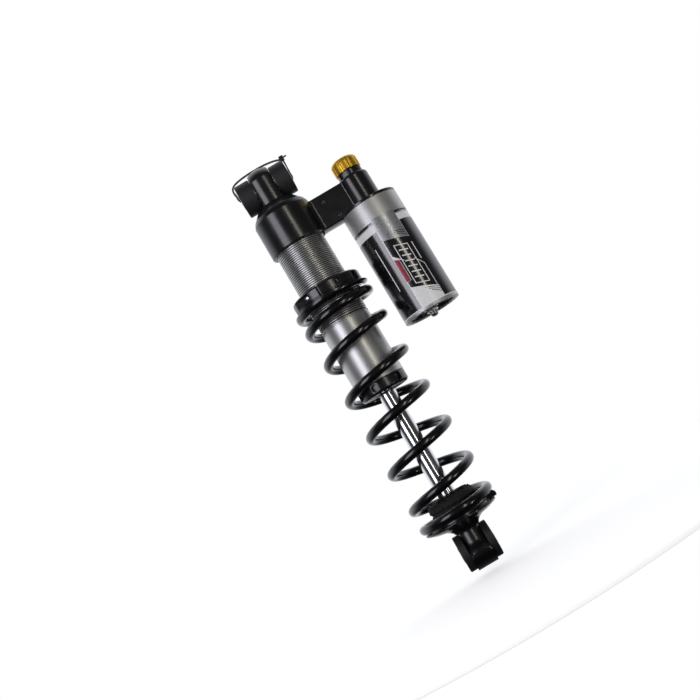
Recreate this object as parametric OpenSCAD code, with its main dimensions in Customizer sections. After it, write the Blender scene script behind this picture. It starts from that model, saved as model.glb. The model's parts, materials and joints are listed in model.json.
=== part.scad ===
// Rear shock absorber with a piggyback reservoir: a coil-over damper in millimetres.
// Origin at the centre of the upper eye, +Z up along the damper, +X along the eye bolt
// towards the reservoir. Heights are negative below the upper eye.

/* [Overall] */
// Distance between the centres of the two eyes at full extension
eye_to_eye = 406.4; // [404:0.1:410]

/* [Eyes] */
// Diameter of the hole in each eye sleeve, for the mounting bolt
bolt_hole_d = 12.2; // [10.2:0.1:13]
// Width over the upper bushes
upper_width = 55; // [48:0.5:60]
// Width of the upper eye lug between its milled flats
upper_lug_w = 22.2; // [20:0.1:26]
// Radius of the upper bush flanges
upper_bush_r = 17.4; // [15:0.1:18]
// Width over the lower bushes
lower_width = 36; // [32:0.5:44]
// Width of the lower eye ring
lower_lug_w = 21.4; // [18:0.1:24]
// Radius of the lower bush flanges
lower_bush_r = 18.4; // [15:0.1:19]
// Outer radius of the lower eye ring
lower_eye_r = 20.5; // [19:0.1:22]

/* [Head] */
// Radius of the cap over the body tube
cap_r = 30.1; // [29:0.1:31]
// Height of the cap's lower edge
cap_bottom = -68.5; // [-72:0.1:-66]
// Thickness of the bridge to the reservoir
bridge_t = 19; // [16:0.5:22]
// Height of the bridge's top face
bridge_top = -35.3; // [-37:0.1:-34]

/* [Body tube] */
// Radius over the threads of the body tube
tube_r = 26; // [25.5:0.1:26.5]
// Bore radius of the body tube
tube_bore_r = 23; // [22.5:0.1:23.5]
// Height of the tube's lower end
tube_bottom = -224.2; // [-226:0.1:-222]
// Pitch of the preload thread
thread_pitch = 2; // [1:0.25:2.5]
// Depth of the preload thread
thread_depth = 0.8; // [0.5:0.1:1]
// Height where the preload thread ends
thread_bottom = -154; // [-160:0.5:-148]

/* [Spring] */
// Wire diameter
wire_d = 9.4; // [8:0.1:10]
// Inside diameter of the coils
spring_id = 63.5; // [62:0.1:66]
// Number of turns, closed ends included
spring_turns = 8; // [7:1:9]

/* [Preload collar] */
// Radius of the collar
collar_r = 36.7; // [35:0.1:38]
// Height of the collar's top face
collar_top = -116.7; // [-118:0.1:-114]
// Height of the collar's lower face
collar_bottom = -128.4; // [-129:0.1:-127.8]

/* [Shaft and piston] */
// Shaft radius
shaft_r = 9; // [8:0.5:9]
// Radial clearance of a running fit
run_gap = 0.05; // [0.02:0.01:0.08]
// Height of the top of the bump stop above the spring's lower seat face
bump_h = 23.5; // [18:0.5:24]
// Radius of the bump stop
bump_r = 24.8; // [20:0.1:25]

/* [Reservoir] */
// Distance from the damper axis to the reservoir axis
reservoir_x = 79.7; // [78:0.1:84]
// Outer radius of the reservoir tube
reservoir_r = 29.7; // [29:0.1:31]
// Bore radius of the reservoir tube
reservoir_bore_r = 26; // [25:0.1:26.5]
// Height of the top of the reservoir tube
reservoir_top = -68.8; // [-72:0.1:-68.8]
// Height of the bottom of the reservoir tube
reservoir_bottom = -190.8; // [-196:0.1:-188]

/* [Compression adjuster] */
// Radius of the adjuster knob over its lobes
knob_r = 14; // [13.5:0.1:15]
// Number of grip grooves round the knob
knob_grooves = 9; // [8:1:12]
// Radius of the knob's grip grooves
groove_r = 3.2; // [2.5:0.1:4]

/* [Hidden] */
$fn = 96;
cut = 0.5;                 // overshoot of a cutting tool past a face
body_gap = 0.3;            // gap between pieces that move past each other

lower_eye_z = -eye_to_eye;
bolt_r = bolt_hole_d / 2;
sleeve_r = 8;
sleeve_proud = 0.5;        // how far a sleeve stands out of its bushes
eye_bore_r = 12;
washer_t = 0.8;
upper_sphere_r = 22;
upper_stem_r = 20;

cap_top = -19;
chamber_top = -44;         // roof of the oil chamber in the head
chamber_r = 22;
tube_top = -50;
head_ring_z = -57.5;
passage_z = -47;
passage_r = 2.5;
tower_r = 16;
tower_top = -33.5;
tower_edge_r = 4;
cartridge_r = 11;
valve_chamber_top = -58;
cartridge_foot = -57.5;
cartridge_ring_z = -38.9;
valve_chamber_r = 14;
flange_t = 3;
spigot_bottom = -80;
spigot_ring_z = -76.2;
spigot_bore_r = 20;

head_inner_z = -212;       // top face of the seal head inside the tube
head_bottom_z = -236;      // bottom face of the seal head
seal_head_ring_z = -218.5;
bush_foot = -225;          // the guide bush ends here and the shaft seal begins
seal_foot = -231;          // the shaft seal ends here and the wiper begins
gland_r = 14;
bush_pocket_r = 10.6;

piston_base_z = -206;
piston_h = 18;
shim_h = 2.8;
stud_r = 5;
stud_top_z = -172;

seat_top = collar_bottom - body_gap;
spring_face = 0.2;         // gap between each end of the spring and its seat
upper_seat_t = 1.6;
spring_top = seat_top - upper_seat_t;
lower_shift = 406.4 - eye_to_eye;        // everything on the lower eye moves with it
lower_seat_z = -374.5 + lower_shift;
bump_top_z = lower_seat_z + bump_h;
bump_foot_z = lower_seat_z + 3;
coil_r = spring_id / 2 + wire_d / 2;

float_rest_z = -100;       // top of the floating piston at full extension
float_h = 15;
cap_inner_z = -176;        // top face of the reservoir's end cap
cap_ring_z = -180.2;
label_top = -94;
groove_z = -91.6;          // fine groove turned round the reservoir
ring_groove_h = 2.4;       // height of a seal ring's groove

// Ground, closed-and-ground coil: drop of the wire's centre line after t turns
coil_start = spring_top + 1.4;
coil_end = lower_seat_z + 2.5;
top_drop = 9.5;            // drop per turn of the closed coil at the top
end_drop = 5.8;            // drop per turn of the last, ground coil
top_mid = 1.36;            // turn where the top coil has half opened
top_width = 2.1;           // turns it takes to open
end_mid = spring_turns - 1.1;
end_width = 1.6;
open_drop = (coil_start - coil_end - top_drop * top_mid - end_drop * (spring_turns - end_mid))
    / (end_mid - top_mid);
function ease_sum(u) = u <= 0 ? 0 : u >= 1 ? u - 0.5 : pow(u, 3) - pow(u, 4) / 2;
function ramp(t, mid, width) = width * ease_sum((t - mid + width / 2) / width);
function coil_z(t) = coil_start - top_drop * t
    - (open_drop - top_drop) * ramp(t, top_mid, top_width)
    + (open_drop - end_drop) * ramp(t, end_mid, end_width);

// Route of the strap over the upper eye, clear of the sleeve's mouth at each end
TIE_ROUTE = [
    [28, 0, 18.9], [20, 0, 21.3], [10, 0, 22.7], [-2, 0, 23], [-14, 0, 22.4], [-23, 0, 20.9],
    [-28, 1, 18.8], [-29.8, 4.5, 15.6], [-29.4, 10.5, 12.8], [-28.6, 16.8, 9.6], [-22, 20.6, 2.5],
    [-13, 22.5, -5], [0, 22.9, -8], [13, 22.7, -7], [23, 21.4, -3], [28.9, 18.2, 2.5],
    [29.5, 12.5, 7.2], [29.6, 6.5, 12], [29.5, 2, 15.5], [29, 0.5, 17.8]
];
PLUG_PLACES = [[42, -44], [50, -63]];      // X and Z of the plugs in the bridge's front
tie_w = 3.6;
tie_t = 1.1;

// ---- shared shapes ----

function arc(cx, cz, r, from, to, steps = 8) =
    [for (i = [0 : steps]) let (a = from + (to - from) * i / steps) [cx + r * cos(a), cz + r * sin(a)]];

module turned(outline) {
    rotate_extrude() polygon(outline);
}

module tube(r_out, r_in, top, bottom) {
    difference() {
        translate([0, 0, bottom]) cylinder(r = r_out, h = top - bottom);
        translate([0, 0, bottom - cut]) cylinder(r = r_in, h = top - bottom + 2 * cut);
    }
}

module rod(r, top, bottom) {
    translate([0, 0, bottom]) cylinder(r = r, h = top - bottom);
}

module along_x() {
    rotate([0, 90, 0]) children();
}

module at_reservoir() {
    translate([reservoir_x, 0, 0]) children();
}

module at_lower_eye() {
    translate([0, 0, lower_eye_z]) children();
}

// a ring of round section that fills a groove
module seal_ring(r_in, r_out, z) {
    section_r = (r_out - r_in) / 2;
    translate([0, 0, z]) rotate_extrude() translate([r_in + section_r, 0]) circle(r = section_r, $fn = 24);
}

// holes drilled radially inwards, the first one at angle first from the front
module radial_holes(angles, r_hole, r_from, depth, z) {
    for (a = angles)
        translate([0, 0, z]) rotate([0, 0, a]) rotate([90, 0, 0])
            translate([0, 0, r_from - depth]) cylinder(r = r_hole, h = depth + 2);
}

// ---- upper eye, cap, bridge and adjuster tower, which one machined head holds ----

module upper_lug() {
    intersection() {
        union() {
            sphere(r = upper_sphere_r);
            rod(upper_sphere_r, 0, cap_top - 2);
        }
        rod(upper_stem_r, upper_sphere_r + 1, cap_top - 3);
        cube([upper_lug_w, 2 * upper_sphere_r + 2, 60], center = true);
    }
}

module cap_blank() {
    turned([
        [0, cap_top], [upper_stem_r, cap_top], [cap_r - 2.1, cap_top - 8.6], [cap_r, cap_top - 13],
        [cap_r, cap_bottom + 1.5], [cap_r - 1.5, cap_bottom], [0, cap_bottom]
    ]);
}

// fills the corner between a round boss and the bridge's side with a concave curve
module corner_fill(boss_r, fill_r) {
    side = bridge_t / 2;
    reach = boss_r + fill_r - 0.15;
    centre_x = sqrt(pow(reach, 2) - pow(side + fill_r, 2));
    share = boss_r / reach;
    difference() {
        polygon([
            [0, 0], [centre_x * share, (side + fill_r) * share], [centre_x, side + fill_r],
            [centre_x, side - 1]
        ]);
        translate([centre_x, side + fill_r]) circle(r = fill_r);
    }
}

module bridge_blank() {
    translate([0, 0, cap_bottom]) linear_extrude(height = bridge_top - cap_bottom) {
        translate([0, -bridge_t / 2]) square([reservoir_x, bridge_t]);
        for (side = [0, 1]) mirror([0, side]) {
            corner_fill(cap_r, 6);
            translate([reservoir_x, 0]) mirror([1, 0]) corner_fill(tower_r, 3);
        }
    }
}

module tower_blank() {
    at_reservoir() turned(concat(
        [[0, tower_top]],
        arc(tower_r - tower_edge_r, tower_top - tower_edge_r, tower_edge_r, 90, 0, 6),
        [
            [tower_r, reservoir_top + flange_t], [reservoir_r - 0.5, reservoir_top + flange_t],
            [reservoir_r, reservoir_top + flange_t - 0.5], [reservoir_r, reservoir_top],
            [reservoir_bore_r, reservoir_top], [reservoir_bore_r, spigot_ring_z + ring_groove_h / 2],
            [reservoir_bore_r - 2.4, spigot_ring_z + ring_groove_h / 2],
            [reservoir_bore_r - 2.4, spigot_ring_z - ring_groove_h / 2],
            [reservoir_bore_r, spigot_ring_z - ring_groove_h / 2],
            [reservoir_bore_r, spigot_bottom], [0, spigot_bottom]
        ]));
}

// oil passage from the damper to the adjuster
module oil_passage() {
    translate([0, 0, passage_z]) along_x() cylinder(r = passage_r, h = reservoir_x - 8);
}

module head_casting() {
    color("#18181b") difference() {
        union() {
            upper_lug();
            cap_blank();
        }
        along_x() cylinder(r = eye_bore_r, h = upper_lug_w + 2, center = true);
        rod(tube_r, tube_top, cap_bottom - cut);
        rod(chamber_r, chamber_top, tube_top - cut);
        oil_passage();
        translate([0, 0, head_ring_z]) turned([
            [tube_r - 1, 1.5], [tube_r + 2, 1.5], [tube_r + 2, -1.5], [tube_r - 1, -1.5]
        ]);
    }
}

module reservoir_bridge() {
    color("#18181b") difference() {
        bridge_blank();
        rod(cap_r, bridge_top + 1, cap_bottom - 1);
        at_reservoir() rod(tower_r, bridge_top + 1, cap_bottom - 1);
        at_reservoir() rod(reservoir_r, reservoir_top + flange_t, cap_bottom - 1);
        oil_passage();
        for (p = PLUG_PLACES)
            translate([p[0], -bridge_t / 2 + 3, p[1]]) rotate([90, 0, 0]) cylinder(r = 1.8, h = 4);
    }
}

module adjuster_housing() {
    color("#18181b") difference() {
        tower_blank();
        oil_passage();
        at_reservoir() {
            rod(cartridge_r, tower_top + cut, valve_chamber_top - cut);
            rod(valve_chamber_r, valve_chamber_top, reservoir_top - cut);
            rod(spigot_bore_r, reservoir_top, spigot_bottom - cut);
        }
    }
}

module bridge_plugs() {
    color("silver") for (p = PLUG_PLACES)
        translate([p[0], -bridge_t / 2 + 3, p[1]]) rotate([90, 0, 0]) cylinder(r = 1.8, h = 2.8);
}

module head_seal_ring() {
    color("#101010") seal_ring(tube_r, tube_r + 2, head_ring_z);
}

// ---- bushes and sleeves of the eyes ----

module eye_bush(inner_x, lug_x, outer_x, flange_r) {
    along_x() difference() {
        turned([
            [0, inner_x], [eye_bore_r, inner_x], [eye_bore_r, lug_x], [flange_r, lug_x],
            [flange_r, outer_x - 1.6], [flange_r - 0.5, outer_x - 0.5], [flange_r - 1.6, outer_x],
            [0, outer_x]
        ]);
        translate([0, 0, inner_x - cut])
            cylinder(r = sleeve_r + run_gap, h = outer_x - inner_x + 2 * cut);
    }
}

module upper_eye_bushes() {
    color("#1c1c1e") for (side = [0, 1]) mirror([side, 0, 0])
        eye_bush(0.2, upper_lug_w / 2 + washer_t, upper_width / 2, upper_bush_r);
}

module upper_eye_washers() {
    color("silver") for (side = [0, 1]) mirror([side, 0, 0])
        along_x() tube(upper_bush_r - 0.6, eye_bore_r, upper_lug_w / 2 + washer_t, upper_lug_w / 2);
}

module eye_sleeve(width) {
    along_x() difference() {
        cylinder(r = sleeve_r, h = width, center = true);
        cylinder(r = bolt_r, h = width + 2 * cut, center = true);
    }
}

module upper_eye_sleeve() {
    color("silver") eye_sleeve(upper_width + 2 * sleeve_proud);
}

module lower_eye_bushes() {
    color("#1c1c1e") at_lower_eye() for (side = [0, 1]) mirror([side, 0, 0])
        eye_bush(0.2, lower_lug_w / 2, lower_width / 2, lower_bush_r);
}

module lower_eye_sleeve() {
    color("silver") at_lower_eye() eye_sleeve(lower_width + 2 * sleeve_proud);
}

// ---- body tube and seal head ----

thread_turns = floor((cap_bottom - 1 - thread_bottom) / thread_pitch);
thread_outline = [for (i = [0 : thread_turns - 1]) let (z = thread_bottom + i * thread_pitch)
    each [[tube_r - 0.1, z], [tube_r - thread_depth, z + thread_pitch / 2]]];

module body_tube() {
    relief_z = thread_bottom - 3.7;
    color("#8d8f92") difference() {
        turned(concat(
            [
                [0, tube_bottom], [tube_r - 0.6, tube_bottom], [tube_r, tube_bottom + 0.6],
                [tube_r, relief_z - 0.9], [tube_r - 0.9, relief_z - 0.5],
                [tube_r - 0.9, relief_z + 0.5], [tube_r - 0.2, relief_z + 0.9]
            ],
            thread_outline,
            [[tube_r - 0.1, cap_bottom - 1], [tube_r, cap_bottom], [tube_r, tube_top], [0, tube_top]]));
        rod(tube_bore_r, tube_top + cut, tube_bottom - cut);
    }
}

module seal_head() {
    plug_r = tube_bore_r;
    color("#161618") difference() {
        turned([
            [0, head_bottom_z], [tube_r - 2.2, head_bottom_z], [tube_r - 0.2, head_bottom_z + 2],
            [tube_r - 0.2, tube_bottom], [plug_r, tube_bottom], [plug_r, seal_head_ring_z - 1],
            [plug_r - 2, seal_head_ring_z - 1], [plug_r - 2, seal_head_ring_z + 1],
            [plug_r, seal_head_ring_z + 1], [plug_r, head_inner_z], [0, head_inner_z]
        ]);
        rod(gland_r, bush_foot, head_bottom_z - cut);
        rod(bush_pocket_r, head_inner_z + cut, bush_foot - cut);
        radial_holes([for (i = [0 : 5]) 60 * i - 18], 4, tube_r, 4.5, head_bottom_z + 6.4);
    }
}

module seal_head_ring() {
    color("#101010") seal_ring(tube_bore_r - 2, tube_bore_r, seal_head_ring_z);
}

module guide_bush() {
    color("#b08d57") tube(bush_pocket_r, shaft_r + run_gap, head_inner_z, bush_foot);
}

module shaft_seal() {
    color("#101010") tube(gland_r, shaft_r + run_gap, bush_foot, seal_foot);
}

module dust_wiper() {
    color("#2a2a2c") difference() {
        turned([
            [0, seal_foot], [gland_r, seal_foot], [gland_r, head_bottom_z], [shaft_r + 2.4, head_bottom_z],
            [shaft_r + 1, head_bottom_z - 0.6], [0, head_bottom_z - 0.6]
        ]);
        rod(shaft_r + run_gap, seal_foot + 1, head_bottom_z - 2);
    }
}

// ---- preload collar, upper seat and spring ----

collar_mid = (collar_top + collar_bottom) / 2;
pinch_angle = -22;         // the pinch bolt crosses the collar's radius here
pinch_line_r = 31.3;       // distance of the bolt's line from the damper axis
pinch_head_z = 5.2;        // distance of the bolt's head from the middle of that line

// puts the pinch bolt's axis on +Z, with the bolt's head end at the bottom
module on_pinch_line() {
    translate([0, 0, collar_mid]) rotate([0, 0, pinch_angle]) translate([0, -pinch_line_r, 0])
        rotate([0, 90, 0]) children();
}

module preload_collar() {
    bore_r = tube_r + body_gap;
    color("#18181b") difference() {
        turned([
            [bore_r, collar_bottom], [collar_r - 0.8, collar_bottom], [collar_r - 0.8, collar_bottom + 1],
            [collar_r, collar_bottom + 1.3], [collar_r, collar_top - 2.4],
            [collar_r - 0.8, collar_top - 1], [collar_r - 2.6, collar_top - 0.1], [bore_r, collar_top]
        ]);
        // slit that the pinch bolt closes
        rotate([0, 0, -11]) translate([-0.6, -collar_r - 2, collar_bottom - cut])
            cube([1.2, 14, collar_top - collar_bottom + 2 * cut]);
        on_pinch_line() {
            translate([-4, -9, -32]) cube([8, 13, 32 - pinch_head_z]);
            translate([0, 0, -pinch_head_z - 1]) cylinder(r = 2.05, h = pinch_head_z + 15);
        }
        radial_holes([for (i = [1 : 8]) 36 * i - 14], 2.6, collar_r, 4.5, collar_mid);
    }
}

module collar_pinch_bolt() {
    color("silver") on_pinch_line() difference() {
        union() {
            translate([0, 0, -pinch_head_z - 4.4]) cylinder(r = 3.6, h = 4.4);
            translate([0, 0, -pinch_head_z]) cylinder(r = 2, h = pinch_head_z + 13);
        }
        translate([0, 0, -pinch_head_z - 5]) cylinder(r = 1.73, h = 3, $fn = 6);
    }
}

module upper_spring_seat() {
    color("#202023") difference() {
        turned([
            [0, seat_top], [collar_r, seat_top], [collar_r, spring_top],
            [spring_id / 2 - 0.6, spring_top], [spring_id / 2 - 0.6, spring_top - 3.4],
            [spring_id / 2 - 1.4, spring_top - 4], [0, spring_top - 4]
        ]);
        rod(tube_r + body_gap, seat_top + cut, spring_top - 5);
    }
}

module coil_spring() {
    rings = 24 * spring_turns;
    sides = 12;
    top_face = spring_top - spring_face;
    bottom_face = lower_seat_z + spring_face;
    // each section is the part of the wire's circle that the grinding of the top end leaves
    points = [for (i = [0 : rings])
        let (t = i / 24, room = (top_face - coil_z(t)) / (wire_d / 2), cut_a = asin(min(max(room, -1), 1)))
        for (j = [0 : sides - 1])
            let (a = 180 - cut_a + (180 + 2 * cut_a) * (j + 0.5) / sides,
                 r = coil_r + wire_d / 2 * cos(a), z = coil_z(t) + wire_d / 2 * sin(a))
            [r * cos(-360 * t), r * sin(-360 * t), max(z, bottom_face)]];
    walls = [for (i = [0 : rings - 1]) for (j = [0 : sides - 1])
        let (a = i * sides + j, b = i * sides + (j + 1) % sides)
        each [[a, b, b + sides], [a, b + sides, a + sides]]];
    first = [[for (j = [sides - 1 : -1 : 0]) j]];
    last = [[for (j = [0 : sides - 1]) rings * sides + j]];
    color("#0e0e10") polyhedron(points, concat(walls, first, last), convexity = 10);
}

// ---- shaft, piston and lower mount ----

module damper_shaft() {
    bottom = lower_seat_z - 16.5;
    color("#e4e6ea") turned([
        [0, bottom], [shaft_r - 1, bottom], [shaft_r, bottom + 1], [shaft_r, piston_base_z],
        [stud_r, piston_base_z], [stud_r, stud_top_z - 1], [stud_r - 1, stud_top_z], [0, stud_top_z]
    ]);
}

module top_out_bumper() {
    color("#3a3a3c") tube(16, shaft_r, piston_base_z, head_inner_z + body_gap);
}

// a stack of valve shims that get smaller away from the piston
module shim_stack(z_wide, z_narrow) {
    step = (z_narrow - z_wide) / 4;
    difference() {
        for (i = [0 : 3])
            translate([0, 0, min(z_wide + i * step, z_wide + (i + 1) * step)])
                cylinder(r = 19 - 2.5 * i, h = abs(step));
        translate([0, 0, min(z_wide, z_narrow) - cut]) cylinder(r = stud_r, h = abs(4 * step) + 2 * cut);
    }
}

piston_z0 = piston_base_z + shim_h;
piston_z1 = piston_z0 + piston_h;

module main_piston() {
    band_z = piston_z0 + piston_h / 2;
    color("#b9a36a") difference() {
        turned([
            [stud_r, piston_z0], [tube_bore_r - 0.2, piston_z0], [tube_bore_r - 0.2, band_z - 4.5],
            [tube_bore_r - 1, band_z - 4.5], [tube_bore_r - 1, band_z + 4.5],
            [tube_bore_r - 0.2, band_z + 4.5], [tube_bore_r - 0.2, piston_z1], [stud_r, piston_z1]
        ]);
        for (i = [0 : 5]) rotate([0, 0, 60 * i]) translate([13.5, 0, piston_z0 - cut])
            cylinder(r = 2.6, h = piston_h + 2 * cut);
    }
}

module piston_band() {
    band_z = piston_z0 + piston_h / 2;
    color("#4b6b58") tube(tube_bore_r - run_gap, tube_bore_r - 1, band_z + 4.5, band_z - 4.5);
}

module rebound_shims() {
    color("silver") shim_stack(piston_z0, piston_base_z);
}

module compression_shims() {
    color("silver") shim_stack(piston_z1, piston_z1 + shim_h);
}

module piston_nut() {
    color("#8a8d90") difference() {
        translate([0, 0, piston_z1 + shim_h]) cylinder(r = 9, h = 8, $fn = 6);
        rod(stud_r, stud_top_z + 2, piston_z1);
    }
}

module bump_stop() {
    rib = (bump_top_z - bump_foot_z) / 2;
    color("#151515") difference() {
        turned([
            [0, bump_foot_z], [bump_r - 1.5, bump_foot_z], [bump_r - 0.4, bump_foot_z + 2],
            [bump_r - 0.4, bump_foot_z + rib - 2], [bump_r - 1.6, bump_foot_z + rib - 0.6],
            [bump_r, bump_foot_z + rib + 1.5], [bump_r - 0.6, bump_top_z - 3],
            [bump_r - 3, bump_top_z - 0.8], [bump_r - 5.5, bump_top_z], [shaft_r + 3, bump_top_z],
            [shaft_r + 1, bump_top_z - 1.2], [0, bump_top_z - 1.2]
        ]);
        rod(shaft_r, bump_top_z + 1, bump_foot_z - 1);
    }
}

module lower_spring_seat() {
    hub_r = 12;
    rim_r = 38;
    lip_r = spring_id / 2 - 0.6;
    color("#161618") translate([0, 0, lower_seat_z]) difference() {
        turned([
            [0, 3], [lip_r - 1, 3], [lip_r, 2], [lip_r, 0], [rim_r, 0], [rim_r, -1.4],
            [rim_r - 1.5, -2.3], [29, -5], [21, -6.6], [17, -8.5], [14.4, -11], [13.6, -13], [0, -13]
        ]);
        translate([0, 0, -14]) cylinder(r = hub_r, h = 16);
        translate([0, 0, 1]) cylinder(r = shaft_r, h = 3);
    }
}

// the eyelet before it is milled: a turned stem that flares into the eye
module eyelet_blank() {
    z = lower_eye_z;
    turned([
        [0, lower_seat_z + 2], [12, lower_seat_z + 2], [12, z + 19.4], [12.6, z + 16.4],
        [13.4, z + 9.4], [14.5, z + 5.4], [17, z + 2.9], [19, z + 0.4], [21.5, z - 3.6],
        [21.5, z - 21.6], [0, z - 21.6]
    ]);
}

module lower_eyelet() {
    color("#18181b") difference() {
        intersection() {
            eyelet_blank();
            union() {
                rod(14, lower_seat_z + 3, lower_eye_z + lower_bush_r + 0.5);
                at_lower_eye() {
                    along_x() cylinder(r = lower_eye_r, h = lower_lug_w, center = true);
                    translate([-lower_lug_w / 2, -30, 0]) cube([lower_lug_w, 60, 30]);
                }
            }
        }
        at_lower_eye() along_x() cylinder(r = eye_bore_r, h = lower_lug_w + 2, center = true);
        rod(shaft_r, lower_seat_z + 3, lower_seat_z - 16.5);
    }
}

// ---- reservoir ----

module reservoir_tube() {
    color("#c2c5c9") at_reservoir() difference() {
        turned([
            [0, reservoir_bottom], [reservoir_r - 1, reservoir_bottom], [reservoir_r, reservoir_bottom + 1],
            [reservoir_r, groove_z - 1.2], [reservoir_r - 1.5, groove_z - 1.2],
            [reservoir_r - 1.5, groove_z + 1.2], [reservoir_r, groove_z + 1.2],
            [reservoir_r, reservoir_top], [0, reservoir_top]
        ]);
        rod(reservoir_bore_r, reservoir_top + cut, reservoir_bottom - cut);
        translate([0, 0, reservoir_bottom + 1.2]) cylinder(r = reservoir_bore_r + 1.2, h = 1.6);
    }
}

module reservoir_label() {
    color("#202024") at_reservoir()
        tube(reservoir_r + 0.15, reservoir_r, label_top, reservoir_bottom + 3.3);
}

module reservoir_seal_ring() {
    color("#101010") at_reservoir() seal_ring(reservoir_bore_r - 2.4, reservoir_bore_r, spigot_ring_z);
}

module floating_piston() {
    r = reservoir_bore_r - 0.15;
    z = float_rest_z;
    color("#7d8084") at_reservoir() turned([
        [0, z], [r - 1, z], [r, z - 1], [r, z - 3], [r - 2.2, z - 3], [r - 2.2, z - 5.4], [r, z - 5.4],
        [r, z - 8], [r - 1.2, z - 8], [r - 1.2, z - 12], [r, z - 12], [r, z - float_h],
        [r - 4, z - float_h], [r - 5, z - 5.5], [0, z - 4]
    ]);
}

module floating_piston_ring() {
    color("#101010") at_reservoir()
        seal_ring(reservoir_bore_r - 2.35, reservoir_bore_r - run_gap, float_rest_z - 4.2);
}

module floating_piston_band() {
    color("#4b6b58") at_reservoir()
        tube(reservoir_bore_r - run_gap, reservoir_bore_r - 1.35, float_rest_z - 8, float_rest_z - 12);
}

module reservoir_cap() {
    top = cap_inner_z;
    base = reservoir_bottom + 2.8;
    r = reservoir_bore_r;
    color("#161618") at_reservoir() difference() {
        turned([
            [0, top], [r, top], [r, top - 3], [r - 2.2, top - 3], [r - 2.2, top - 5.4], [r, top - 5.4],
            [r, base], [r - 3, base], [r - 4, base + 3], [9, base + 3], [8, base], [0, base]
        ]);
        rod(2.5, top + cut, base - cut);
    }
}

module reservoir_cap_ring() {
    color("#101010") at_reservoir() seal_ring(reservoir_bore_r - 2.2, reservoir_bore_r, cap_ring_z);
}

module reservoir_circlip() {
    color("#3c3c3f") at_reservoir() difference() {
        translate([0, 0, reservoir_bottom + 1.2])
            tube(reservoir_bore_r + 1.1, reservoir_bore_r - 2.4, 1.6, 0);
        translate([-4, -reservoir_bore_r - 3, reservoir_bottom]) cube([8, 7, 5]);
    }
}

module fill_valve() {
    base = reservoir_bottom + 2.8;
    color("silver") at_reservoir() difference() {
        union() {
            translate([0, 0, base - 3]) cylinder(r = 6.4, h = 3, $fn = 6);
            rod(5, base - 3, base - 6);
            turned([[0, base - 6], [4.4, base - 6], [4.4, base - 7.6], [3.2, base - 8.8], [0, base - 8.8]]);
            rod(2.5, base + 9, base);
        }
        rod(1.2, base + 10, base - 9.4);
    }
}

module valve_core() {
    base = reservoir_bottom + 2.8;
    color("#c9a24a") at_reservoir() rod(1.2, base + 6, base - 8.2);
}

// ---- compression adjuster and base valve ----

cartridge_top = -28.2;
needle_tip = -52;
needle_top = -17.5;
knob_top = -14;

module adjuster_cartridge() {
    color("#1b1b1e") at_reservoir() difference() {
        union() {
            intersection() {
                translate([0, 0, tower_top]) rotate([0, 0, 38])
                    cylinder(r = 14.2, h = cartridge_top - tower_top, $fn = 6);
                turned([
                    [0, tower_top], [12.8, tower_top], [12.8, cartridge_top - 0.8],
                    [12, cartridge_top], [0, cartridge_top]
                ]);
            }
            turned([
                [0, tower_top], [cartridge_r, tower_top], [cartridge_r, cartridge_ring_z + 0.9],
                [cartridge_r - 1.8, cartridge_ring_z + 0.9], [cartridge_r - 1.8, cartridge_ring_z - 0.9],
                [cartridge_r, cartridge_ring_z - 0.9], [cartridge_r, passage_z + 2.5],
                [cartridge_r - 2.5, passage_z + 2.5], [cartridge_r - 2.5, passage_z - 2.5],
                [cartridge_r, passage_z - 2.5], [cartridge_r, cartridge_foot], [0, cartridge_foot]
            ]);
        }
        rod(3 + run_gap, cartridge_top + cut, needle_tip - 0.5);
        rod(5, needle_tip, cartridge_foot - cut);
        translate([0, 0, -54.5]) for (a = [0, 90])
            rotate([0, 90, a]) cylinder(r = 1.4, h = 30, center = true);
        translate([0, -8, cartridge_top - 4]) cylinder(r = 1.6, h = 4 + cut);
    }
}

module cartridge_ring() {
    color("#101010") at_reservoir() seal_ring(cartridge_r - 1.8, cartridge_r, cartridge_ring_z);
}

module adjuster_needle() {
    color("silver") at_reservoir() turned([
        [0, needle_tip + 0.3], [1.2, needle_tip + 0.5], [3, needle_tip + 4.5], [3, needle_top],
        [0, needle_top]
    ]);
}

module adjuster_knob() {
    base = cartridge_top + body_gap;
    color("#d9981e") at_reservoir() difference() {
        turned(concat(
            [[0, base], [knob_r - 0.8, base], [knob_r, base + 0.8]],
            arc(knob_r - 4.5, knob_top - 4.5, 4.5, 0, 90, 8),
            [[0, knob_top]]));
        for (i = [0 : knob_grooves - 1]) rotate([0, 0, 360 * i / knob_grooves + 6])
            translate([knob_r + groove_r * 0.8, 0, base - cut])
                cylinder(r = groove_r, h = knob_top - base + 2 * cut);
        rod(3, needle_top, base - cut);
        rod(1.7, knob_top + cut, needle_top - cut);
        rod(3.4, knob_top + cut, knob_top - 1.6);
    }
}

module knob_screw() {
    color("silver") at_reservoir() difference() {
        union() {
            rod(3.4, knob_top - 0.2, knob_top - 1.6);
            rod(1.7, knob_top - 1.6, needle_top);
        }
        translate([0, 0, knob_top - 1.2]) cylinder(r = 1.2, h = 2, $fn = 6);
    }
}

module detent_ball() {
    color("silver") translate([reservoir_x, -8, cartridge_top - 1.5]) sphere(r = 1.5);
}

module detent_spring() {
    color("#9a9da0") translate([reservoir_x, -8, 0])
        tube(1.4, 0.9, cartridge_top - 3, cartridge_top - 4);
}

valve_top = -60;
valve_h = 6;

module base_valve() {
    color("#b9a36a") at_reservoir() difference() {
        rod(valve_chamber_r, valve_top, valve_top - valve_h);
        for (i = [0 : 5]) rotate([0, 0, 60 * i]) translate([8.5, 0, valve_top - valve_h - cut])
            cylinder(r = 2, h = valve_h + 2 * cut);
        rod(2.5, valve_top + cut, valve_top - valve_h - cut);
    }
}

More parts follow.
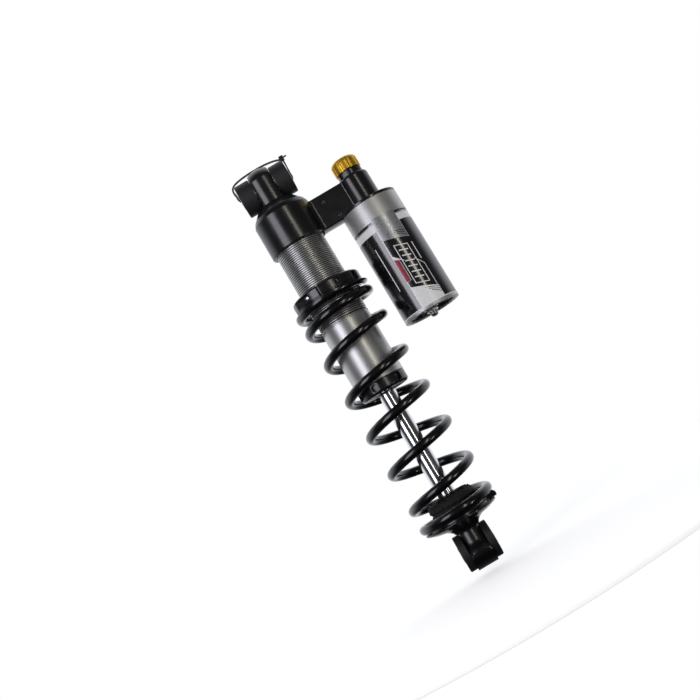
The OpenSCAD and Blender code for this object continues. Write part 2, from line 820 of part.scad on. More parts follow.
module base_valve_shims() {
    color("silver") at_reservoir() difference() {
        for (i = [0 : 2]) translate([0, 0, valve_top - valve_h - 0.8 * (i + 1)])
            cylinder(r = 12 - 2 * i, h = 0.8);
        rod(2.5, valve_top - valve_h + cut, valve_top - valve_h - 3);
    }
}

module base_valve_bolt() {
    color("#8a8d90") at_reservoir() union() {
        rod(2.5, valve_top, valve_top - valve_h - 2.4);
        translate([0, 0, valve_top - valve_h - 5.4]) cylinder(r = 5, h = 3, $fn = 6);
        rod(4.5, valve_top + 1.5, valve_top);
    }
}

// ---- cable tie left on the upper eye for storage ----

module strap_piece(p) {
    translate(p) cube([tie_t, tie_w, tie_t], center = true);
}

module cable_tie() {
    head = [29, 0, 19.3];
    color("#141414") union() {
        for (i = [0 : len(TIE_ROUTE) - 2]) hull() {
            strap_piece(TIE_ROUTE[i]);
            strap_piece(TIE_ROUTE[i + 1]);
        }
        translate(head) cube([4.6, 5.4, 5], center = true);
        translate(head + [3.4, 0, 0.6]) cube([4, 2.6, 1.1], center = true);
    }
}

head_casting();
reservoir_bridge();
adjuster_housing();
bridge_plugs();
upper_eye_bushes();
upper_eye_washers();
upper_eye_sleeve();
body_tube();
head_seal_ring();
seal_head();
seal_head_ring();
guide_bush();
shaft_seal();
dust_wiper();
preload_collar();
collar_pinch_bolt();
upper_spring_seat();
coil_spring();
damper_shaft();
main_piston();
piston_band();
compression_shims();
rebound_shims();
piston_nut();
top_out_bumper();
bump_stop();
lower_spring_seat();
lower_eyelet();
lower_eye_bushes();
lower_eye_sleeve();
reservoir_tube();
reservoir_label();
reservoir_seal_ring();
floating_piston();
floating_piston_ring();
floating_piston_band();
reservoir_cap();
reservoir_cap_ring();
reservoir_circlip();
fill_valve();
valve_core();
adjuster_cartridge();
cartridge_ring();
adjuster_needle();
adjuster_knob();
knob_screw();
detent_ball();
detent_spring();
base_valve();
base_valve_shims();
base_valve_bolt();
cable_tie();
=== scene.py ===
"""Looks of the rear shock absorber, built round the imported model. Lengths are in mm."""

import json
import math
import bmesh
import bpy
from mathutils import Matrix, Vector, noise


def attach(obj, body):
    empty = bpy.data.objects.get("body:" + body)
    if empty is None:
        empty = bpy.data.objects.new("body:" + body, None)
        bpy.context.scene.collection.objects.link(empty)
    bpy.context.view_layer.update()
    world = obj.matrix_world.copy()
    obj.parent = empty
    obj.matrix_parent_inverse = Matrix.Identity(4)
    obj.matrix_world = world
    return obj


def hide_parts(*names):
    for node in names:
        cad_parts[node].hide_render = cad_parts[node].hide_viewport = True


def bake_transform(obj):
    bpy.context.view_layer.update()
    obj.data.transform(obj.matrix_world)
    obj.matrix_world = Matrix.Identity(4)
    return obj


MM = 0.001
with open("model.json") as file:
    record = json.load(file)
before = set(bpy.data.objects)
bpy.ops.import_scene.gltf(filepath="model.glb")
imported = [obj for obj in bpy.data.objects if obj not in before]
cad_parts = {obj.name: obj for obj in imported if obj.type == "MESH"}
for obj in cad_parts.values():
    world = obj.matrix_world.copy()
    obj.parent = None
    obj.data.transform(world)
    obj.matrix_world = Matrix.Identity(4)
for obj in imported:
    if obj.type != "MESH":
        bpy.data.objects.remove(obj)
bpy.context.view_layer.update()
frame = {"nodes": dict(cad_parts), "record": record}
RESERVOIR_X, RESERVOIR_R = 79.7, 29.7
LOWER_EYE_Z = -406.4
UPPER_LUG_HALF, UPPER_LUG_SPHERE, UPPER_LUG_STEM = 11.1, 22, 20
LOWER_LUG_HALF, LOWER_RING_R = 10.7, 20.5
PLUG_PLACES = ((42, -44), (50, -63))

# ---------------------------------------------------------------- mesh helpers


def new_object(name, verts, faces, smooth=32, weld=True):
    """A mesh object from points in mm, with its normals outwards."""
    mesh = bpy.data.meshes.new(name)
    mesh.from_pydata([Vector(v) * MM for v in verts], [], faces)
    bm = bmesh.new()
    bm.from_mesh(mesh)
    if weld:
        bmesh.ops.remove_doubles(bm, verts=bm.verts, dist=1e-7)
    bmesh.ops.recalc_face_normals(bm, faces=bm.faces)
    bm.to_mesh(mesh)
    bm.free()
    obj = bpy.data.objects.new(name, mesh)
    bpy.context.scene.collection.objects.link(obj)
    shade(obj, smooth)
    return obj


def shade(obj, angle=32):
    """Smooth shading that keeps edges sharper than the angle crisp."""
    mesh = obj.data
    mesh.polygons.foreach_set("use_smooth", [True] * len(mesh.polygons))
    mesh.set_sharp_from_angle(angle=math.radians(angle))


def rounded(points, closed=False):
    """A profile in which a third number on a point rounds its corner to that radius."""
    out = []
    count = len(points)
    for i, p in enumerate(points):
        if len(p) < 3 or (not closed and i in (0, count - 1)):
            out.append(Vector(p[:2]))
            continue
        here = Vector(p[:2])
        before = Vector(points[i - 1][:2]) - here
        after = Vector(points[(i + 1) % count][:2]) - here
        half = before.angle(after) / 2
        reach = min(p[2] / math.tan(half), before.length * 0.49, after.length * 0.49)
        radius = reach * math.tan(half)
        centre = here + (before.normalized() + after.normalized()).normalized() * radius / math.sin(half)
        first = here + before.normalized() * reach - centre
        last = here + after.normalized() * reach - centre
        sweep = first.angle_signed(last)
        steps = max(3, int(abs(sweep) / math.radians(15)))
        for k in range(steps + 1):
            out.append(centre + Matrix.Rotation(-sweep * k / steps, 2) @ first)
    return out


def lathe(name, points, x=0, segments=128, axis="z", closed=False):
    """Turns a profile of (radius, height) points; the axis is vertical at x, or lies along X."""
    profile = rounded(points, closed)
    verts, rings = [], []
    for radius, height in profile:
        if radius < 1e-6:
            rings.append([len(verts)])
            spots = [(0, 0)]
        else:
            rings.append(list(range(len(verts), len(verts) + segments)))
            spots = [(radius * math.cos(a), radius * math.sin(a))
                     for a in (2 * math.pi * k / segments for k in range(segments))]
        for u, v in spots:
            verts.append((height, u, v) if axis == "x" else (x + u, v, height))
    faces = []
    pairs = list(zip(rings, rings[1:]))
    if closed:
        pairs.append((rings[-1], rings[0]))
    for a, b in pairs:
        if len(a) == 1 and len(b) == 1:
            continue
        for k in range(segments):
            n = (k + 1) % segments
            if len(a) == 1:
                faces.append((a[0], b[k], b[n]))
            elif len(b) == 1:
                faces.append((a[k], b[0], a[n]))
            else:
                faces.append((a[k], b[k], b[n], a[n]))
    return new_object(name, verts, faces)


def loft(name, rings, smooth=32):
    """A closed skin through rings that all have the same number of points."""
    verts = [p for ring in rings for p in ring]
    n = len(rings[0])
    faces = [(i * n + k, i * n + (k + 1) % n, (i + 1) * n + (k + 1) % n, (i + 1) * n + k)
             for i in range(len(rings) - 1) for k in range(n)]
    faces += [tuple(range(n)), tuple(range(len(verts) - n, len(verts)))]
    return new_object(name, verts, faces, smooth)


def box(name, centre, size, turn=0):
    """A block; turn swings it about the damper's axis, in degrees."""
    spin = Matrix.Rotation(math.radians(turn), 3, "Z")
    corners = [spin @ (Vector(centre) + Vector((a * size[0], b * size[1], c * size[2])) / 2)
               for a in (-1, 1) for b in (-1, 1) for c in (-1, 1)]
    faces = [(0, 1, 3, 2), (4, 6, 7, 5), (0, 4, 5, 1), (2, 3, 7, 6), (0, 2, 6, 4), (1, 5, 7, 3)]
    return new_object(name, corners, faces)


def rod_between(name, start, end, radius, sides=48, turn=0):
    """A round or many-sided bar between two points."""
    start, end = Vector(start), Vector(end)
    along = (end - start).normalized()
    side = along.orthogonal().normalized()
    if abs(along.z) > 0.99:
        side = Vector((1, 0, 0))
    other = along.cross(side)
    rings = []
    for base in (start, end):
        rings.append([base + radius * (math.cos(a) * side + math.sin(a) * other)
                      for a in (2 * math.pi * k / sides + math.radians(turn) for k in range(sides))])
    return loft(name, rings)


def evaluated(obj, smooth):
    """Applies the object's modifiers to its mesh."""
    graph = bpy.context.evaluated_depsgraph_get()
    mesh = bpy.data.meshes.new_from_object(obj.evaluated_get(graph))
    obj.modifiers.clear()
    obj.data = mesh
    shade(obj, smooth)


def carve(obj, tools, edge=0.0, operation="DIFFERENCE", smooth=32):
    """Cuts the tools out of the object, then rounds its sharp edges by edge."""
    for tool in tools:
        cut = obj.modifiers.new("cut", "BOOLEAN")
        cut.operation = operation
        cut.solver = "EXACT"
        cut.object = tool
    if edge:
        bevel = obj.modifiers.new("edge", "BEVEL")
        bevel.width = edge * MM
        bevel.segments = 2
        bevel.limit_method = "ANGLE"
        bevel.angle_limit = math.radians(38)
        bevel.use_clamp_overlap = True
    evaluated(obj, smooth)
    for tool in tools:
        bpy.data.objects.remove(tool)
    return obj


def merge(obj, *others):
    """Joins other objects' meshes into the first."""
    bm = bmesh.new()
    bm.from_mesh(obj.data)
    for other in others:
        bm.from_mesh(other.data)
        bpy.data.objects.remove(other)
    bm.to_mesh(obj.data)
    bm.free()
    shade(obj)
    return obj


# ------------------------------------------------------------------- materials


def map_range(nodes, links, source, low, high, to_low=0.0, to_high=1.0, kind="LINEAR"):
    """Stretches a source from low and high to to_low and to_high; returns the new output."""
    node = nodes.new("ShaderNodeMapRange")
    node.interpolation_type = kind
    node.inputs["From Min"].default_value = low
    node.inputs["From Max"].default_value = high
    node.inputs["To Min"].default_value = to_low
    node.inputs["To Max"].default_value = to_high
    links.new(source, node.inputs["Value"])
    return node.outputs["Result"]


def material(name, color, metallic=0.0, roughness=0.4, grain=600, stretch=(1, 1, 1), vary=0.12,
             rough_vary=0.08, bump=0.15, depth=0.02, specular=0.5, coat=0.0, coat_roughness=0.1, ior=1.5,
             patch=0.0):
    """A principled material whose colour, roughness and relief follow a fine noise."""
    mat = bpy.data.materials.new(name)
    mat.use_nodes = True
    nodes, links = mat.node_tree.nodes, mat.node_tree.links
    shader = nodes["Principled BSDF"]
    for socket, value in (("Metallic", metallic), ("IOR", ior), ("Specular IOR Level", specular),
                          ("Coat Weight", coat), ("Coat Roughness", coat_roughness)):
        shader.inputs[socket].default_value = value
    coords = nodes.new("ShaderNodeTexCoord")
    mapping = nodes.new("ShaderNodeMapping")
    mapping.inputs["Scale"].default_value = stretch
    links.new(coords.outputs["Object"], mapping.inputs["Vector"])
    fine = nodes.new("ShaderNodeTexNoise")
    fine.inputs["Scale"].default_value = grain
    fine.inputs["Detail"].default_value = 4
    links.new(mapping.outputs["Vector"], fine.inputs["Vector"])
    broad = nodes.new("ShaderNodeTexNoise")
    broad.inputs["Scale"].default_value = 45
    broad.inputs["Detail"].default_value = 3
    links.new(coords.outputs["Object"], broad.inputs["Vector"])
    tone = map_range(nodes, links, fine.outputs["Fac"], 0.3, 0.7)
    mix = nodes.new("ShaderNodeMix")
    mix.data_type = "RGBA"
    mix.inputs[6].default_value = (*[c * (1 - vary) for c in color], 1)
    mix.inputs[7].default_value = (*[min(1, c * (1 + vary)) for c in color], 1)
    links.new(tone, mix.inputs[0])
    links.new(mix.outputs[2], shader.inputs["Base Color"])
    source = broad if patch else fine
    rough = map_range(nodes, links, source.outputs["Fac"], 0.3, 0.7,
                      max(0.02, roughness - rough_vary), min(1, roughness + rough_vary))
    links.new(rough, shader.inputs["Roughness"])
    relief = nodes.new("ShaderNodeBump")
    relief.inputs["Strength"].default_value = bump
    relief.inputs["Distance"].default_value = depth * MM
    links.new(fine.outputs["Fac"], relief.inputs["Height"])
    links.new(relief.outputs["Normal"], shader.inputs["Normal"])
    return mat


TURNED = (1, 1, 14)
LOOKS = {
    "head_black": material("head_black", (0.009, 0.009, 0.01), 0.0, 0.24, 1500, bump=0.05, specular=0.85,
                           rough_vary=0.04, patch=1),
    "bush_black": material("bush_black", (0.026, 0.026, 0.028), 0.0, 0.5, 900, bump=0.3, specular=0.5),
    "bare_steel": material("bare_steel", (0.62, 0.62, 0.64), 1.0, 0.28, 500, TURNED),
    "tube_grey": material("tube_grey", (0.56, 0.56, 0.55), 0.85, 0.36, 700, TURNED, bump=0.12, vary=0.08),
    "thread_grey": material("thread_grey", (0.58, 0.58, 0.57), 0.85, 0.34, 700, bump=0, vary=0.03),
    # painted shade for the gaps between the thread's turns
    "painted_thread_shade": material("painted_thread_shade", (0.05, 0.05, 0.05), 0.5, 0.5, 700, bump=0, vary=0.03),
    "seal_black": material("seal_black", (0.009, 0.009, 0.01), 0.0, 0.24, 1200, TURNED, bump=0.08,
                           specular=0.8),
    "rubber_black": material("rubber_black", (0.014, 0.014, 0.014), 0.0, 0.6, 800),
    "bronze": material("bronze", (0.55, 0.42, 0.24), 1.0, 0.4, 900),
    "collar_black": material("collar_black", (0.009, 0.009, 0.01), 0.0, 0.22, 1300, TURNED, bump=0.08,
                             specular=0.9),
    "spring_black": material("spring_black", (0.006, 0.006, 0.007), 0.0, 0.2, 420, bump=0.1, depth=0.04,
                             specular=0.5, coat=0.4, coat_roughness=0.08, rough_vary=0.03),
    "shaft_chrome": material("shaft_chrome", (0.8, 0.81, 0.83), 1.0, 0.14, 900, TURNED, vary=0.01,
                             rough_vary=0.01, bump=0),
    "piston_alloy": material("piston_alloy", (0.62, 0.55, 0.38), 1.0, 0.4, 800),
    "ptfe": material("ptfe", (0.2, 0.32, 0.25), 0.0, 0.5, 700),
    "nut_steel": material("nut_steel", (0.4, 0.4, 0.42), 1.0, 0.35, 700),
    "polyurethane": material("polyurethane", (0.07, 0.07, 0.07), 0.0, 0.5, 600),
    "bump_rubber": material("bump_rubber", (0.02, 0.02, 0.02), 0.0, 0.75, 260, vary=0.6, bump=0.9, depth=0.5,
                            specular=0.35, rough_vary=0.15),
    "seat_black": material("seat_black", (0.01, 0.01, 0.011), 0.0, 0.26, 900, bump=0.04, specular=0.6,
                           coat=0.2),
    "reservoir_silver": material("reservoir_silver", (0.62, 0.62, 0.61), 0.8, 0.46, 900, TURNED, vary=0.03,
                                 bump=0.06),
    "label_black": material("label_black", (0.008, 0.008, 0.01), 0.0, 0.16, 500, bump=0.04, specular=0.9,
                            ior=1.7, rough_vary=0.03),
    "label_white": material("label_white", (0.9, 0.9, 0.9), 0.0, 0.3, 500, bump=0.04, vary=0.03),
    "label_silver": material("label_silver", (0.5, 0.51, 0.53), 0.6, 0.32, 500, bump=0.04, vary=0.04),
    "label_red": material("label_red", (0.42, 0.02, 0.06), 0.0, 0.3, 500, bump=0.04),
    "label_green": material("label_green", (0.012, 0.06, 0.03), 0.0, 0.2, 500, bump=0.04),
    "clip_steel": material("clip_steel", (0.1, 0.1, 0.11), 0.9, 0.35, 700),
    "valve_steel": material("valve_steel", (0.72, 0.71, 0.68), 1.0, 0.34, 700, vary=0.04),
    "brass": material("brass", (0.7, 0.52, 0.22), 1.0, 0.3, 700),
    "knob_gold": material("knob_gold", (0.95, 0.56, 0.05), 0.85, 0.36, 900, vary=0.04, bump=0.03),
    "tie_nylon": material("tie_nylon", (0.012, 0.012, 0.013), 0.0, 0.42, 700),
}
LOOKS["label_print"] = LOOKS["label_black"]
# painted light: the white paper glows faintly, to look brighter than the lamps make it
paper_glow_shader = LOOKS["label_white"].node_tree.nodes["Principled BSDF"]
paper_glow_shader.inputs["Emission Color"].default_value = (1, 1, 1, 1)
paper_glow_shader.inputs["Emission Strength"].default_value = 0.14


def put(obj, slot, body, *nodes, looks=None):
    """Gives a piece its material and its body, and hides the CAD nodes that it stands for."""
    obj.data.materials.clear()
    obj.data.materials.append(LOOKS[looks or slot])
    if body:
        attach(obj, body)
    if nodes:
        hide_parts(*nodes)
    return obj


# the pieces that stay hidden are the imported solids, in the looks of their slots
for part in frame["record"]["subparts"]:
    cad = frame["nodes"][part["node"]]
    cad.data.materials.clear()
    cad.data.materials.append(LOOKS[part["material_slot"]])

# ------------------------------------------- head: eye lug, cap, bridge, tower


def lug_ring(x, inset):
    """Outline of the upper eye lug at x, pulled in by inset."""
    sphere = UPPER_LUG_SPHERE - inset
    side = math.sqrt((UPPER_LUG_STEM - inset) ** 2 - x * x)
    crown = math.sqrt(sphere * sphere - x * x)
    meet = math.sqrt(crown * crown - side * side)
    foot = -21
    points = [(x, side, foot + (meet - foot) * k / 10) for k in range(10)]
    start = math.atan2(meet, side)
    for k in range(41):
        a = start + (math.pi - 2 * start) * k / 40
        points.append((x, crown * math.cos(a), crown * math.sin(a)))
    points += [(x, -side, meet + (foot - meet) * (k + 1) / 10) for k in range(10)]
    return points


def eye_lug():
    """The upper eye lug, without its hole, with rounded edges round its flats."""
    half, edge = UPPER_LUG_HALF, 1.0
    turns = [math.pi / 2 * k / 4 for k in range(5)]
    rings = [(-half + edge * (1 - math.cos(a)), edge * (1 - math.sin(a))) for a in turns]
    stations = rings + [(x, 0) for x in (-8, -5, -2.5, 0, 2.5, 5, 8)] + [(-x, i) for x, i in reversed(rings)]
    return loft("eye_lug", [lug_ring(x, i) for x, i in stations])


def arc_points(cx, cy, radius, start, end, steps=12):
    """Points along an arc from one angle to another, in degrees."""
    return [(cx + radius * math.cos(math.radians(start + (end - start) * k / steps)),
             cy + radius * math.sin(math.radians(start + (end - start) * k / steps)))
            for k in range(steps + 1)]


def bridge():
    """The bridge's plan with a concave corner at each boss, and rounded top and bottom edges."""
    face = 9.5
    # centre and radius of the concave corner at the cap and of the one at the tower
    cap_x, cap_y, cap_corner = 32.6, face + 6, 6
    tower_x, tower_y, tower_corner = 65.39, face + 3, 3
    cap_turn = math.degrees(math.atan2(cap_y, cap_x))
    tower_turn = math.degrees(math.atan2(tower_y, RESERVOIR_X - tower_x))
    half = [(23, 11.2)]
    half += arc_points(cap_x, cap_y, cap_corner, 180 + cap_turn, 270)
    half += [(38 + 5 * k, face) for k in range(6)]
    half += arc_points(tower_x, tower_y, tower_corner, 270, 360 - tower_turn, 8)
    half += [(72, 7)]
    plan = half + [(x, -y) for x, y in reversed(half)]
    count = len(plan)
    outward = []
    for i in range(count):
        a, b = Vector(plan[i - 1]), Vector(plan[(i + 1) % count])
        along = (b - a).normalized()
        outward.append(Vector((-along.y, along.x)))
    top, bottom, edge = -35.3, -68.5, 1.3
    levels = [(top - edge * (1 - math.sin(a)), edge * (1 - math.cos(a)))
              for a in (math.pi / 2 * (4 - k) / 4 for k in range(5))]
    levels += [(bottom + edge * (1 - math.sin(a)), edge * (1 - math.cos(a)))
               for a in (math.pi / 2 * k / 4 for k in range(5))]
    rings = []
    for height, inset in levels:
        rings.append([(p[0] - o.x * inset, p[1] - o.y * inset, height) for p, o in zip(plan, outward)])
    return loft("bridge", rings, 40)


cap = lathe("head", [
    (0, -19), (20, -19, 0.8), (28, -27.6, 3), (30.1, -32, 3), (30.1, -68.5, 1.5), (26.1, -68.5, 0.4),
    (26.1, -50), (0, -50)], segments=160)
tower = lathe("tower", [
    (0, -33.5), (16, -33.5, 4), (16, -65.8, 1.6), (RESERVOIR_R, -65.8, 0.8), (RESERVOIR_R, -68.8, 0.3),
    (26, -68.8), (26, -80), (0, -80)], x=RESERVOIR_X, segments=144)
head = merge(cap, eye_lug(), bridge(), tower)
put(head, "head_black", "damper", "head_casting", "reservoir_bridge", "adjuster_housing")

plugs = [rod_between("plug", (x, -9.75, z), (x, -6.7, z), 1.8, 32) for x, z in PLUG_PLACES]
sockets = [rod_between("socket", (x, -10.2, z), (x, -8.6, z), 0.9, 6) for x, z in PLUG_PLACES]
plug_pair = carve(merge(plugs[0], plugs[1]), sockets, 0.2)
put(plug_pair, "clip_steel", "damper", "bridge_plugs")

# ----------------------------------------------------- bushes, washers, sleeves


def bush_pair(name, lug_half, outer, flange):
    """The flanges of an eye's two bushes, each from the lug's flat to its outer face."""
    profile = [(8.1, lug_half), (flange, lug_half, 0.5), (flange, outer, 1.3), (8.1, outer, 0.3)]
    right = lathe(name, profile, axis="x", closed=True, segments=112)
    mirrored = [(p[0], -p[1], *p[2:]) for p in profile]
    left = lathe(name + "_left", mirrored, axis="x", closed=True, segments=112)
    return merge(right, left)


def sleeve(name, half, z):
    """The steel tube through an eye's bushes."""
    profile = [(6.1, -half, 0.3), (8, -half, 0.4), (8, half, 0.4), (6.1, half, 0.3)]
    obj = lathe(name, profile, axis="x", closed=True, segments=72)
    obj.data.transform(Matrix.Translation((0, 0, z * MM)))
    return obj


put(bush_pair("upper_bushes", 11.9, 27.5, 17.4), "bush_black", "damper", "upper_eye_bushes")
washers = []
for side in (-1, 1):
    near, far = side * UPPER_LUG_HALF, side * (UPPER_LUG_HALF + 0.8)
    washers.append(lathe("washers", [(12.1, near), (16.3, near, 0.2), (16.3, far, 0.2), (12.1, far)],
                         axis="x", closed=True))
put(merge(*washers), "bare_steel", "damper", "upper_eye_washers")
put(sleeve("upper_sleeve_tube", 28, 0), "bare_steel", "upper_sleeve", "upper_eye_sleeve")
lower_bushes = bush_pair("lower_bushes", LOWER_LUG_HALF, 18, 18.4)
lower_bushes.data.transform(Matrix.Translation((0, 0, LOWER_EYE_Z * MM)))
put(lower_bushes, "bush_black", "shaft_assembly", "lower_eye_bushes")
put(sleeve("lower_sleeve_tube", 18.5, LOWER_EYE_Z), "bare_steel", "lower_sleeve", "lower_eye_sleeve")

# ------------------------------------------------------- body tube and its thread


def thread(name, root, crest, pitch, top, bottom, segments=144):
    """A rolled thread: one strip wound down the tube that fades out at its lower end."""
    turns = int((top - bottom) / pitch)
    shape = ((0.16, 0.0), (0.32, 1.0), (0.68, 1.0), (0.84, 0.0))
    verts, faces = [], []
    for i in range(turns * segments + 1):
        a = 2 * math.pi * i / segments
        fade = min(1, (turns * segments - i) / (segments * 1.5))
        for share, height in shape:
            radius = root + (crest - root) * height * fade
            verts.append((radius * math.cos(a), radius * math.sin(a),
                          top - pitch * (i / segments + share)))
    for i in range(turns * segments):
        for k in range(3):
            faces.append((i * 4 + k, i * 4 + k + 1, i * 4 + k + 5, i * 4 + k + 4))
    return new_object(name, verts, faces, 25)


TUBE_R = 26
THREAD_TOP, THREAD_PITCH = -61, 2
tube = lathe("body", [
    (23, -50), (25.9, -50), (25.9, -60), (25.35, THREAD_TOP), (25.35, -155.6), (TUBE_R, -156.2, 0.2),
    (TUBE_R, -156.8, 0.2), (25.1, -157.2), (25.1, -158.2), (TUBE_R, -158.6, 0.2), (TUBE_R, -224.2, 0.6),
    (23, -224.2)], closed=True, segments=160)
put(tube, "tube_grey", "damper", "body_tube")
wound = thread("thread", 25.3, TUBE_R, THREAD_PITCH, THREAD_TOP, -156)
put(wound, "tube_grey", "damper", "body_tube", looks="thread_grey")
# painted shade: a near-black skin between the threads stands in for the shade where little light reaches
painted_thread_shade = lathe("painted_thread_shade", [
    (24, THREAD_TOP), (25.4, THREAD_TOP), (25.4, -155.7), (24, -155.7)], closed=True, segments=160)
put(painted_thread_shade, "tube_grey", "damper", "body_tube", looks="painted_thread_shade")

# ------------------------------------------------------------ seal head and wiper


def radial_tools(angles, radius, outer, depth, z, sides=40):
    """Bars that point at the axis; an angle of 0 is the front, turning towards the reservoir."""
    tools = []
    for angle in angles:
        a = math.radians(angle)
        way = Vector((math.sin(a), -math.cos(a), 0))
        rise = Vector((0, 0, z))
        start, end = way * (outer - depth) + rise, way * (outer + 3) + rise
        tools.append(rod_between("tool", start, end, radius, sides))
    return tools


seal = lathe("seal_cover", [
    (14, -236), (23.8, -236, 1.2), (25.8, -234, 1.2), (25.8, -224.2, 0.3), (23, -224.2), (23, -219.5),
    (21, -219.5), (21, -217.5), (23, -217.5), (23, -212), (10.6, -212), (10.6, -225), (14, -225)],
    closed=True, segments=144)
carve(seal, radial_tools([60 * i - 18 for i in range(6)], 4, 26, 4.5, -229.6), 0.3)
put(seal, "seal_black", "damper", "seal_head")
wiper = lathe("wiper", [
    (9.05, -231), (14, -231), (14, -236, 0.4), (11.4, -236, 0.3), (10, -236.6, 0.2), (9.05, -236.6, 0.2)],
    closed=True, segments=96)
put(wiper, "polyurethane", "damper", "dust_wiper")

# --------------------------------------------------- preload collar and its bolt

COLLAR_R, COLLAR_MID = 36.7, -122.55
PINCH = math.radians(-22)
PINCH_WAY = Vector((math.cos(PINCH), math.sin(PINCH), 0))
PINCH_OUT = Vector((math.sin(PINCH), -math.cos(PINCH), 0))
PINCH_MID = PINCH_OUT * 31.3 + Vector((0, 0, COLLAR_MID))
HEAD_TOP, HEAD_BASE, BOLT_TIP = -9.6, -5.2, 13
HEAD_R, BOLT_R, KEY_R = 3.6, 2, 1.73


def along_bolt(distance):
    """A point on the pinch bolt's axis, measured from the collar's slit towards the bolt's tip."""
    return PINCH_MID + PINCH_WAY * distance


collar = lathe("collar_ring", [
    (26.3, -128.4), (35.9, -128.4, 0.3), (35.9, -127.4), (COLLAR_R, -127.1, 0.3), (COLLAR_R, -119.1, 0.9),
    (35.9, -117.7, 0.8), (34.1, -116.8, 0.8), (26.3, -116.7)], closed=True, segments=160)
slit = box("slit", (0, -32, COLLAR_MID), (1.2, 14, 14), -11)
pocket_mid = along_bolt(-18.6) + PINCH_OUT * 2.5
pocket = box("pocket", (0, 0, 0), (26.8, 13, 8))
pocket.data.transform(Matrix.Translation(pocket_mid * MM) @ Matrix.Rotation(PINCH, 4, "Z"))
spanner_holes = radial_tools([36 * i - 14 for i in range(1, 9)], 2.6, COLLAR_R, 4.5, COLLAR_MID, 28)
carve(collar, spanner_holes + [slit, pocket], 0.25)
put(collar, "collar_black", "collar", "preload_collar")
bolt = merge(rod_between("pinch_bolt", along_bolt(HEAD_TOP), along_bolt(HEAD_BASE), HEAD_R, 48),
             rod_between("pinch_stem", along_bolt(HEAD_BASE - 0.5), along_bolt(BOLT_TIP), BOLT_R, 32))
carve(bolt, [rod_between("key", along_bolt(HEAD_TOP - 0.6), along_bolt(HEAD_TOP + 2.4), KEY_R, 6)], 0.3)
put(bolt, "bare_steel", "collar", "collar_pinch_bolt")
upper_seat = lathe("upper_seat", [
    (26.3, -128.7), (COLLAR_R, -128.7, 0.4), (COLLAR_R, -130.3, 0.4), (31.15, -130.3, 0.5),
    (31.15, -133.7, 0.8), (30.2, -134.3, 0.5), (26.3, -134.3)], closed=True, segments=144)
put(upper_seat, "seat_black", "spring_seat", "upper_spring_seat")

# ------------------------------------------------------------------- coil spring

WIRE_R, COIL_R = 4.7, 36.45
COIL_START, COIL_END, TURNS = -128.9, -372.0, 8
TOP_FACE, BOTTOM_FACE = -130.5, -374.3
# the drop of one turn at each end, and the turns about which, and over which, it opens and closes
TOP_DROP, END_DROP = 9.5, 5.8
TOP_MID, TOP_WIDTH, END_MID, END_WIDTH = 1.36, 2.1, 6.9, 1.6
OPEN_DROP = (COIL_START - COIL_END - TOP_DROP * TOP_MID - END_DROP * (TURNS - END_MID)) / (END_MID - TOP_MID)


def ease_sum(u):
    """The running sum of a smooth step from 0 to 1."""
    return 0 if u <= 0 else u - 0.5 if u >= 1 else u ** 3 - u ** 4 / 2


def ramp(t, mid, width):
    """Turns spent past mid, blended in over width turns."""
    return width * ease_sum((t - mid + width / 2) / width)


def coil_z(t):
    """Height of the wire's centre after t turns."""
    return (COIL_START - TOP_DROP * t - (OPEN_DROP - TOP_DROP) * ramp(t, TOP_MID, TOP_WIDTH)
            + (OPEN_DROP - END_DROP) * ramp(t, END_MID, END_WIDTH))


def seat_share(t):
    """How far turn t follows the upper seat: wholly on the closed coil, not at all from turn 2."""
    u = min(1, max(0, (t - 0.7) / 1.3))
    return 1 - u * u * (3 - 2 * u)


def shaft_share(t):
    """How far turn t follows the shaft: not at all at turn 2, wholly on the lower closed coil."""
    return (ramp(t, 2.3, 0.6) - ramp(t, 6.5, 1.6)) / 4.2


def coil(name, first, last, share, lid):
    """Part of the spring; each turn's share of another body is worked out but not applied."""
    around, sides = 60, 24
    steps = int(round((last - first) * around))
    rings, shares = [], []
    for i in range(steps + 1):
        t = first + (last - first) * i / steps
        a = -2 * math.pi * t
        slope = math.atan2(coil_z(t + 0.01) - coil_z(t - 0.01), 0.02 * 2 * math.pi * COIL_R)
        out = Vector((math.cos(a), math.sin(a), 0))
        way = Vector((math.sin(a), -math.cos(a), 0)) * math.cos(slope) + Vector((0, 0, math.sin(slope)))
        up = way.cross(out).normalized()
        up = up if up.z > 0 else -up
        centre = out * COIL_R + Vector((0, 0, coil_z(t)))
        ground = math.asin(min(1, max(-1, (TOP_FACE - coil_z(t)) / WIRE_R)))
        ring = []
        for k in range(sides):
            b = math.pi - ground + (math.pi + 2 * ground) * (k + 0.5) / sides
            p = centre + out * WIRE_R * math.cos(b) + up * WIRE_R * math.sin(b)
            p.z = min(TOP_FACE, max(BOTTOM_FACE, p.z))
            ring.append(p)
        rings.append(ring)
        shares += [share(t)] * sides
    verts = [p for ring in rings for p in ring]
    faces = [(i + k, i + (k + 1) % sides, i + sides + (k + 1) % sides, i + sides + k)
             for i in range(0, steps * sides, sides) for k in range(sides)]
    if lid == "first":
        faces.append(tuple(range(sides)))
    else:
        faces.append(tuple(range(len(verts) - sides, len(verts))))
    obj = new_object(name, verts, faces, 40, weld=False)
    put(obj, "spring_black", None, "coil_spring")
    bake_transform(obj)
    return obj


coil("spring_top", 0, 2, seat_share, "first")
coil("spring_rest", 2, TURNS, shaft_share, "last")

# -------------------------------------------------- shaft, bump stop, lower mount

